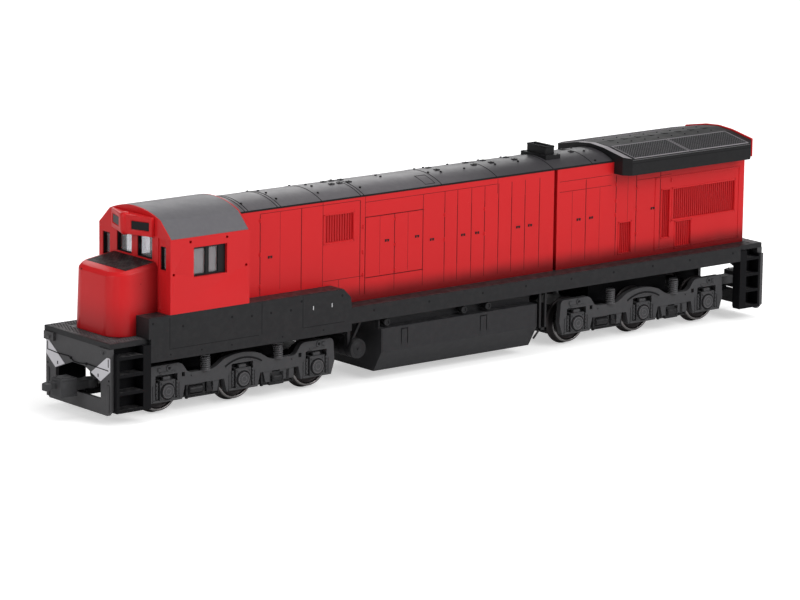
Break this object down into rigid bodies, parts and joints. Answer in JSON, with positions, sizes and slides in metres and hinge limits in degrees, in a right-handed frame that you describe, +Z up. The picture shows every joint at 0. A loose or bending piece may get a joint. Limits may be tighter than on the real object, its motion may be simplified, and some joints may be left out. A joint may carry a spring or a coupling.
{
  "type": "model diesel locomotive",
  "caption": "Six-axle model diesel locomotive with swivelling bogies, hooded body, low nose and hook couplers.",
  "frame": {"origin": "under the middle of the locomotive, on the plane that the wheel flanges stand on", "axes": "+X towards the cab end, +Y towards the locomotive's left side, +Z up"},
  "size_m": [0.255, 0.0326, 0.0569],
  "materials": {
    "red_plastic": "satin red paint",
    "black_plastic": "satin black",
    "grey_plastic": "satin mid grey",
    "roof_plastic": "satin dark grey",
    "clear_plastic": "clear",
    "wheel_metal": "blackened steel with bright treads",
    "steel": "satin black",
    "dark_metal": "plain"
  },
  "bodies": {
    "body": {"underframe": "black_plastic", "side_sills": "black_plastic", "cab_platform": "black_plastic", "front_pilot": "black_plastic", "rear_pilot": "black_plastic", "front_steps": "black_plastic", "rear_steps": "black_plastic", "fuel_tank": "black_plastic", "air_reservoirs": "black_plastic", "cab_shell": "red_plastic", "cab_roof": "grey_plastic", "cab_glazing": "clear_plastic", "nose": "red_plastic", "engine_hood": "red_plastic", "radiator_hood": "red_plastic", "hood_roof": "roof_plastic", "radiator_roof": "black_plastic", "exhaust_stack": "black_plastic", "front_number_housing": "red_plastic", "rear_number_housing": "red_plastic", "cab_window_frames": "black_plastic", "nose_tread_panel": "black_plastic", "motor_and_weight_block": "dark_metal"},
    "front_bogie": {"front_bogie_gear_housing": "black_plastic", "front_bogie_keeper_plate": "black_plastic", "front_bogie_left_side_frame": "black_plastic", "front_bogie_right_side_frame": "black_plastic", "front_bogie_springs": "steel"},
    "front_wheelset_1": {"front_wheelset_1": "wheel_metal"},
    "front_wheelset_2": {"front_wheelset_2": "wheel_metal"},
    "front_wheelset_3": {"front_wheelset_3": "wheel_metal"},
    "front_coupler": {"front_coupler": "black_plastic"},
    "rear_bogie": {"rear_bogie_gear_housing": "black_plastic", "rear_bogie_keeper_plate": "black_plastic", "rear_bogie_left_side_frame": "black_plastic", "rear_bogie_right_side_frame": "black_plastic", "rear_bogie_springs": "steel"},
    "rear_wheelset_1": {"rear_wheelset_1": "wheel_metal"},
    "rear_wheelset_2": {"rear_wheelset_2": "wheel_metal"},
    "rear_wheelset_3": {"rear_wheelset_3": "wheel_metal"},
    "rear_coupler": {"rear_coupler": "black_plastic"}
  },
  "joints": [
    {"name": "front_bogie_swivel", "type": "hinge", "parent": "body", "child": "front_bogie", "pos_m": [0.0721, 0, 0.0139], "axis": [0, 0, 1], "range_deg": [-8, 8]},
    {"name": "front_wheelset_1_spin", "type": "hinge", "parent": "front_bogie", "child": "front_wheelset_1", "pos_m": [0.09725, 0, 0.0068], "axis": [0, 1, 0], "continuous": true},
    {"name": "front_wheelset_2_spin", "type": "hinge", "parent": "front_bogie", "child": "front_wheelset_2", "pos_m": [0.0721, 0, 0.0068], "axis": [0, 1, 0], "continuous": true},
    {"name": "front_wheelset_3_spin", "type": "hinge", "parent": "front_bogie", "child": "front_wheelset_3", "pos_m": [0.04695, 0, 0.0068], "axis": [0, 1, 0], "continuous": true},
    {"name": "front_coupler_swing", "type": "hinge", "parent": "front_bogie", "child": "front_coupler", "pos_m": [0.113, 0, 0.00885], "axis": [0, 0, 1], "range_deg": [-6, 6]},
    {"name": "rear_bogie_swivel", "type": "hinge", "parent": "body", "child": "rear_bogie", "pos_m": [-0.0721, 0, 0.0139], "axis": [0, 0, 1], "range_deg": [-8, 8]},
    {"name": "rear_wheelset_1_spin", "type": "hinge", "parent": "rear_bogie", "child": "rear_wheelset_1", "pos_m": [-0.04695, 0, 0.0068], "axis": [0, 1, 0], "continuous": true},
    {"name": "rear_wheelset_2_spin", "type": "hinge", "parent": "rear_bogie", "child": "rear_wheelset_2", "pos_m": [-0.0721, 0, 0.0068], "axis": [0, 1, 0], "continuous": true},
    {"name": "rear_wheelset_3_spin", "type": "hinge", "parent": "rear_bogie", "child": "rear_wheelset_3", "pos_m": [-0.09725, 0, 0.0068], "axis": [0, 1, 0], "continuous": true},
    {"name": "rear_coupler_swing", "type": "hinge", "parent": "rear_bogie", "child": "rear_coupler", "pos_m": [-0.113, 0, 0.00885], "axis": [0, 0, 1], "range_deg": [-6, 6]}
  ]
}
